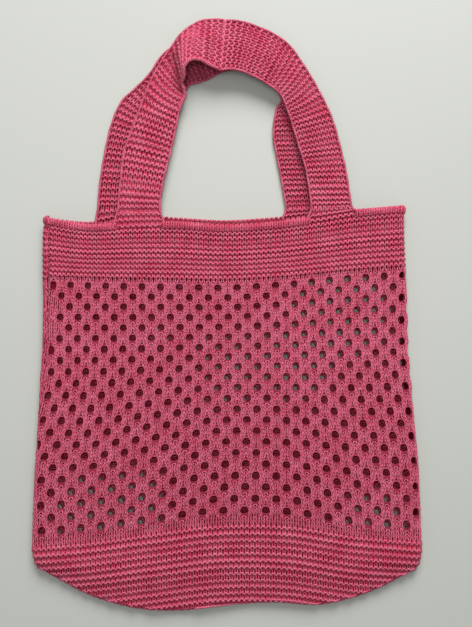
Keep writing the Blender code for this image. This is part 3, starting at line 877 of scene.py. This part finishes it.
def strapRows(half, columns):
    # Sections of a strap half, from the top of the garter ridges of its panel to the apex
    share = np.linspace(0, 1, columns + 1)
    onFront = half["onFront"]
    rows = []
    for drop in (panel["rimDrop"], 0.0):
        x = half["outerX"] + (half["innerX"] - half["outerX"]) * share
        y = rimAbove(x, onFront) - drop
        z = cloth["panelThickness"] / 2 + cloth["lift"] + (layerRise(x, y, True) if onFront else 0.0 * x)
        rows.append(np.stack([x, y, z], -1))
    lift = 0.0 if onFront else strap["backLift"]
    rows = np.array(rows + [sectionLine(section, share, lift) for section in half["sections"]])
    middle = rows[:, columns // 2]
    return rows, np.concatenate([[0], np.cumsum(np.linalg.norm(np.diff(middle, axis=0), axis=1))])


crease = {"y": (215.0, 225.0, 235.0, 244.7, 257.5, 274.0), "x": (-42.1, -45.0, -47.0, -49.0, -48.5, -47.0),
          "low": 216.0, "high": 280.0, "fade": 8.0, "lowest": 5.2,
          "step": ((222.0, 248.0), (3.0, 8.5)), "stepWidth": 1.6, "carry": 16.0,
          "hollow": (4.0, -4.0, 4.6), "lean": (3.0, 252.0, 18.0, 12.0)}   # height, place, widths


def creaseRise(x, y):
    # The front strap folds over itself at its left shoulder
    past = x - np.interp(y, crease["y"], crease["x"])
    ends = (smoothStep((y - crease["low"]) / crease["fade"])
            * smoothStep((crease["high"] - y) / crease["fade"]))
    over = smoothStep(past / crease["stepWidth"] + 0.5)
    raised = np.interp(y, *crease["step"]) * over * np.exp(-np.maximum(past, 0) / crease["carry"])
    size, place, width = crease["hollow"]
    hollow = size * np.exp(-((past - place) / width) ** 2)
    size, place, length, width = crease["lean"]
    lean = size * np.clip((y - place) / length, -1, 1)
    lean = lean * np.exp(-(np.minimum(past, 0) / width) ** 2) * (1 - over)
    return (raised - hollow + lean) * ends


def strapGrid(half, distances, columns, skewed=False):
    rows, length = strapRows(half, columns)
    share = np.linspace(0, 1, columns + 1)
    along = distances[:, None] + np.interp(distances, *half["skew"])[:, None] * (0.5 - share) * skewed
    position = np.interp(along, length, np.arange(len(length)))
    beyond = np.maximum(along - length[-1], 0) / (length[-1] - length[-2])
    before = np.minimum(along, 0) / (length[1] - length[0])
    position = np.repeat(position + beyond + before, 3, axis=1)
    flat = rows.reshape(len(rows), -1)
    grid = np.array([through(flat, place).reshape(-1, 3) for place in position])
    if "lip" in half:   # the half with the crease; the back strap lies under it
        grid[..., 2] = np.maximum(grid[..., 2] + creaseRise(grid[..., 0], grid[..., 1]), crease["lowest"])
    return grid


lip = {"in": 1.0, "rise": 2.9, "sunk": 1.4, "cord": (1.1, 0.8, 1.15, 4.6)}


def makeStrap(name, half, seed):
    # The knitting, the cloth under it, the wound selvedges and the rolled lip
    _, length = strapRows(half, strap["stitches"])
    end = length[-1]
    total = 2 * round(end / half["ridge"])
    height = end / total
    courses = np.arange(-2, total + 2.1, strap["guideStep"])
    stitches = np.arange(0, strap["stitches"] + 0.01, strap["guideStep"])
    grid = strapGrid(half, courses * height, len(stitches) - 1, True)
    guide = makeGuide(name + "Guide", stitches, courses, grid, np.ones(grid.shape[:2]), True)
    look = dict(garterLook, **{"Loop Height": height * strap["loopShare"],
                               "Yarn Radius": height * strap["yarnShare"]})
    yarn = [knitPiece(name, guide, look, 0, strap["stitches"], total, height,
                      strap["perStitch" if half["onFront"] else "perStitchBack"], seed)]

    steps = round((end - panel["rimDrop"] - strap["coreStart"]) / strap["coreStep"])
    distances = np.linspace(panel["rimDrop"] - strap["coreStart"], end - strap["coreEnd"], steps)
    grid = strapGrid(half, distances, strap["stitches"])
    width = grid[:, -1:] - grid[:, :1]
    grid = grid + width * strap["coreInset"] * (1 - 2 * np.linspace(0, 1, grid.shape[1]))[None, :, None]
    # The strap's cloth under the yarn is painted dark, as shade between the loops
    inside = finishCore(name + "Core", meshFromGrid(name + "Core", grid), True, strap["coreThickness"],
                        strap["coreDepth"], pinkShadeCore)

    step = strap["selvedgeStep"]
    distances = np.arange(panel["rimDrop"] - step, end - strap["selvedgeEnd"], step)
    grid = strapGrid(half, distances, strap["stitches"])
    outer, inner = grid[:, 0], grid[:, -1]
    width = (inner - outer) / np.linalg.norm(inner - outer, axis=1, keepdims=True)
    grid[..., 2] += strap["selvedgeLift"]
    inset = width * strap["selvedgeIn"]
    for tag, line in (("Outer", outer + inset), ("Inner", inner - inset)):
        yarn.append(makeCord(name + "Selvedge" + tag, line, *strap["selvedgeCord"], perTurn=4))
    if "lip" in half:   # the edge rolls up where the strap folds
        line = (inner - width * lip["in"])[(inner[:, 1] > half["lip"][0]) & (inner[:, 1] < half["lip"][1])]
        line[:, 2] += lip["rise"] * np.sin(np.linspace(0, math.pi, len(line))) ** 0.5 - lip["sunk"]
        yarn.append(makeCord(name + "Lip", line, *lip["cord"]))
    return yarn, inside, end


edges = {  # a cord is its radius across and up, the yarn's radius and the length of a turn
    "rollMiddle": 3.7, "rollHalf": 3.4, "rollRise": 2.0, "backRollRise": 0.8,
    "rollCourses": 4, "rollCourseHeight": 2.2,
    "seamFrom": 88, "seamTo": -246, "seamIn": 0.6, "seamSunk": 1.3, "seamCord": (0.45, 0.4, 0.6, 4.0),
    "bottomReach": 188, "bottomUp": 1.4, "bottomZ": 4.3, "bottomCord": (1.1, 1.1, 1.0, 6.0), "points": 90,
    "frontApexCord": (0.7, 1.3, 0.75, 4.2), "backApexCord": (0.7, 0.9, 0.75, 4.2),
    "apexLift": 0.2, "apexPoints": 16,
}
rolls = {  # from and to, across the mouth, between the straps
    "front": ((-179, -110), (-65, 82), (127, 189)), "back": ((-190, -129), (-86, 58), (101, 171)),
}


def makeCord(name, path, radius, radiusUp, yarn, pitch, perTurn=7):
    mesh = newMesh(name + "Path", path, [(i, i + 1) for i in range(len(path) - 1)], [])
    turns = float(np.linalg.norm(np.diff(path, axis=0), axis=1).sum() / pitch)
    return runTree(cordTree, newObject(name + "Path", mesh), {
        "Turns": turns, "Points": int(turns * perTurn) + 2, "Radius Across": radius,
        "Radius Up": radiusUp, "Yarn Radius": yarn, "Yarn": pinkYarn}, name)


rollLook = {"Garter": 0.0, "Depth": 0.3, "Ridge": 0.4, "Loop Height": 1.7, "Sway": 0.3, "Yarn Radius": 1.1,
            "Unevenness": 0.4, "Loop Shift": 0.25}


def makeRoll(name, onFront, low, high, seed):
    # The rolled edge of the mouth, a few courses knitted round the rim
    courses = np.arange(-1, edges["rollCourses"] + 1.1, 0.5)
    count = round((high - low) / stitchWidth)
    stitches = np.arange(0, count + 0.1, 0.5)
    stitch, course = np.meshgrid(stitches, courses)
    angle = course / edges["rollCourses"] * math.pi
    x = low + (high - low) * stitch / count
    y = rimAbove(x, onFront) - edges["rollMiddle"] + edges["rollHalf"] * np.cos(angle)
    placed, beside, above = (layPanel(x + moveX, y + moveY, onFront)[0]
                             for moveX, moveY in ((0, 0), (0.5, 0), (0, 0.5)))
    normal = np.cross(beside - placed, above - placed)
    normal /= np.linalg.norm(normal, axis=-1, keepdims=True)
    turn = 1 if onFront else -1
    rise = np.interp(turn * normal[..., 2], (-1, 0), (edges["backRollRise"], edges["rollRise"]))
    placed = placed + normal * (turn * rise * np.sin(angle))[..., None]
    guide = makeGuide(name + "Guide", stitches, courses, placed, np.ones(x.shape), onFront)
    return knitPiece(name, guide, rollLook, 0, count, edges["rollCourses"], edges["rollCourseHeight"],
                     8, seed)


print("building the panels")
frontYarn = makePanelYarn("front", True, *panel["frontPoints"])
backYarn = makePanelYarn("back", False, *panel["backPoints"])
frontCore = makePanelCore("frontPanel", True)
backCore = makePanelCore("backPanel", False)

print("building the straps")
straps = {name: makeStrap(name, half, seed) for seed, (name, half) in enumerate(strapHalves.items(), 11)}

print("sewing the edges")
for side, onFront, yarn, seed in (("front", True, frontYarn, 21), ("back", False, backYarn, 24)):
    yarn += [makeRoll(side + "RimEdge" + tag, onFront, *span, seed)
             for tag, span in zip(("Left", "Middle", "Right"), rolls[side])]

bottomX = np.linspace(-edges["bottomReach"], edges["bottomReach"], edges["points"])
bottomY = lineHeight(bottomEdge, shareAcross(bottomX, np.full_like(bottomX, lowLevel))) + edges["bottomUp"]
bottomPlace = np.stack([bottomX, bottomY, np.full_like(bottomX, edges["bottomZ"])], -1)
frontYarn.append(makeCord("bottomSeam", bottomPlace, *edges["bottomCord"]))
seamY = np.linspace(edges["seamFrom"], edges["seamTo"], edges["points"])
seamLeft, _ = outerSides(seamY)
seamX = (seamLeft + layerRise(seamLeft, seamY, True) / 2 + cloth["foldInset"] - panelSides(seamY, True)[0]
         - edges["seamIn"])
seamPlace, _, _ = layPanel(seamX, seamY, True)
seamPlace[:, 2] -= edges["seamSunk"]
frontYarn.append(makeCord("leftSideSeam", seamPlace, *edges["seamCord"]))
apexes = {}
for side, sections in (("front", frontLeftSections), ("back", backLeftSections)):
    path = sectionLine(sections[-1], np.linspace(0.0, 1.0, edges["apexPoints"]), edges["apexLift"])
    apexes[side + "StrapLeft"] = [makeCord(side + "ApexSeam", path, *edges[side + "ApexCord"])]

for replaced, yarn, whole, under in (("front_panel", frontYarn, frontCore, [backCore]),
                                     ("back_panel", backYarn, backCore, [])):
    for piece in yarn + [whole]:
        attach(piece, "root")
    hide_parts(replaced)
    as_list(under)
    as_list(yarn)
for name, (yarn, whole, length) in straps.items():
    onIt = yarn + apexes.get(name, [])
    for piece in onIt + [whole]:
        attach(piece, "root")
    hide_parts(strapHalves[name]["node"])
    under = [straps[name.replace("front", "back")][1]] if name.startswith("front") else []
    length * mm
    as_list(under)

floor = {"half": 3.0, "height": -0.0001, "dark": (0.42, 0.435, 0.408, 1.0), "pale": (0.44, 0.455, 0.43, 1.0),
         "patches": 3.0, "roughness": 0.6, "specular": 0.3}   # metres
floorMaterial, g, place = newMaterial("paleTable")
g.surface({"Base Color": g.mix(g.noise(place, floor["patches"], 1.0), floor["dark"], floor["pale"]),
           "Roughness": floor["roughness"], "Specular IOR Level": floor["specular"]})
floorMesh = bpy.data.meshes.new("studioFloor")
floorMesh.from_pydata([(x * floor["half"], y * floor["half"], floor["height"])
                       for x, y in ((-1, -1), (1, -1), (1, 1), (-1, 1))], [], [(0, 1, 2, 3)])
floorMesh.materials.append(floorMaterial)
studioFloor = newObject("studioFloor", floorMesh)

lights = {  # place and aim, size, watts, colour
    "windowLight": ((0.25, 1.9, 1.4), (0.0, 0.0, 0.0), 1.4, 81.0, (1.0, 0.99, 0.97)),
    "ceilingLight": ((-0.05, 0.1, 1.0), (-0.05, 0.1, 0.0), 0.4, 2.5, (1.0, 0.99, 0.98)),
}
roomStrength = 0.36
for name, (place, aim, size, watts, colour) in lights.items():
    data = bpy.data.lights.new(name, "AREA")
    data.shape, data.size, data.energy, data.color = "DISK", size, watts, colour
    light = newObject(name, data)
    light.location = place
    light.rotation_euler = (Vector(aim) - Vector(place)).to_track_quat("-Z", "Y").to_euler()
world = bpy.data.worlds.new("roomLight")
world.use_nodes = True
background = world.node_tree.nodes["Background"].inputs
background["Color"].default_value = (1.0, 1.0, 1.0, 1.0)
background["Strength"].default_value = roomStrength
bpy.context.scene.world = world
bpy.context.scene.view_settings.view_transform = "Standard"

view = {"sensor": 36.0, "distance": 0.8, "height": 0.627}   # the lens that fits this height from there
cameraData = bpy.data.cameras.new("photoCamera")
cameraData.lens = view["sensor"] * view["distance"] / view["height"]
camera = newObject("photoCamera", cameraData)
camera.location = tuple(value * mm for value in cameraPlace)
bpy.context.scene.camera = camera
